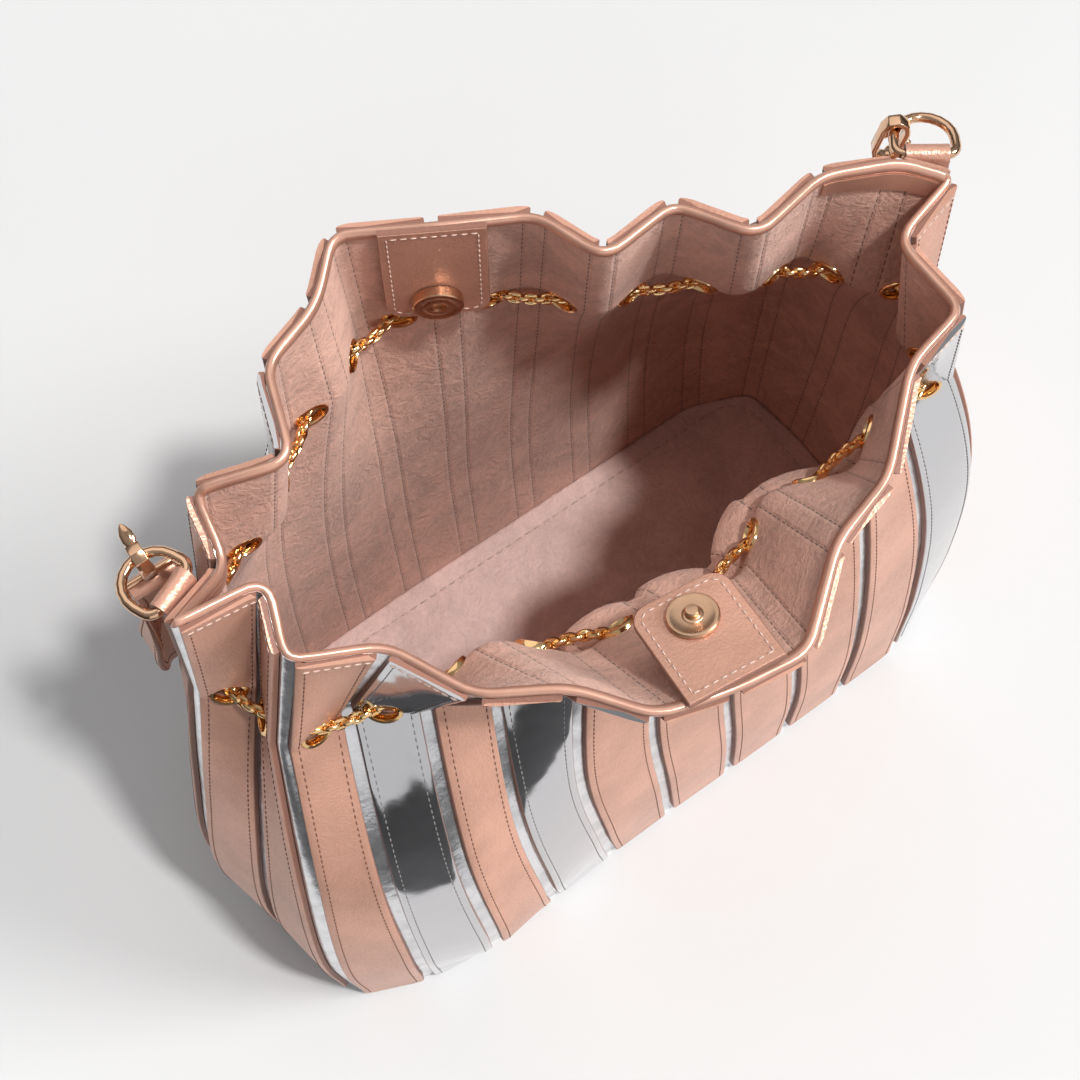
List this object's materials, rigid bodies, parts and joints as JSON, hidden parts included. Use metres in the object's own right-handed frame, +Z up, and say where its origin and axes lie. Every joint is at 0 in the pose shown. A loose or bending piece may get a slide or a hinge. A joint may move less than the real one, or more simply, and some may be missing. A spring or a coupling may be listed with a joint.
{
  "type": "drawstring handbag",
  "caption": "Open gathered leather handbag with upright applied strips, a chain drawstring laced round the neck, snap tabs and a shoulder strap on rings.",
  "frame": {"origin": "middle of the bag's box on the surface that it stands on", "axes": "+X along the bag to its right end, +Y to its back, +Z up"},
  "size_m": [0.3426, 0.2056, 0.3],
  "materials": {
    "rose_leather": "fine-grained leather with a soft rose metallic sheen",
    "mirror_leather": "mirror-bright silver leather",
    "silver_leather": "grained silver metallic leather",
    "suede": "matt suede",
    "binding_leather": "smooth rose metallic leather",
    "gold_metal": "polished"
  },
  "bodies": {
    "root": {"shell": "silver_leather", "lining": "suede", "strip_back_01": "rose_leather", "strip_back_02": "rose_leather", "strip_back_03": "mirror_leather", "strip_back_04": "rose_leather", "strip_back_05": "rose_leather", "strip_back_06": "rose_leather", "strip_back_07": "rose_leather", "strip_back_08": "rose_leather", "strip_back_09": "rose_leather", "strip_back_10": "rose_leather", "strip_back_11": "rose_leather", "strip_back_12": "rose_leather", "strip_right_ring": "rose_leather", "strip_front_01": "rose_leather", "strip_front_02": "rose_leather", "strip_front_03": "mirror_leather", "strip_front_04": "rose_leather", "strip_front_05": "rose_leather", "strip_front_06": "rose_leather", "strip_front_07": "rose_leather", "strip_front_08": "rose_leather", "strip_front_09": "mirror_leather", "strip_front_10": "rose_leather", "strip_front_11": "mirror_leather", "strip_front_12": "rose_leather", "strip_front_13": "rose_leather", "strip_front_14": "rose_leather", "strip_left_ring": "rose_leather", "rim_binding": "binding_leather", "base_panel": "suede", "draw_chain": "gold_metal", "tab_front": "rose_leather", "snap_front": "gold_metal", "tab_back": "rose_leather", "snap_back": "gold_metal", "ring_loop_left": "rose_leather", "ring_left": "gold_metal", "hook_left": "gold_metal", "ring_loop_right": "rose_leather", "ring_right": "gold_metal", "hook_right": "gold_metal", "shoulder_strap": "rose_leather"}
  },
  "joints": []
}
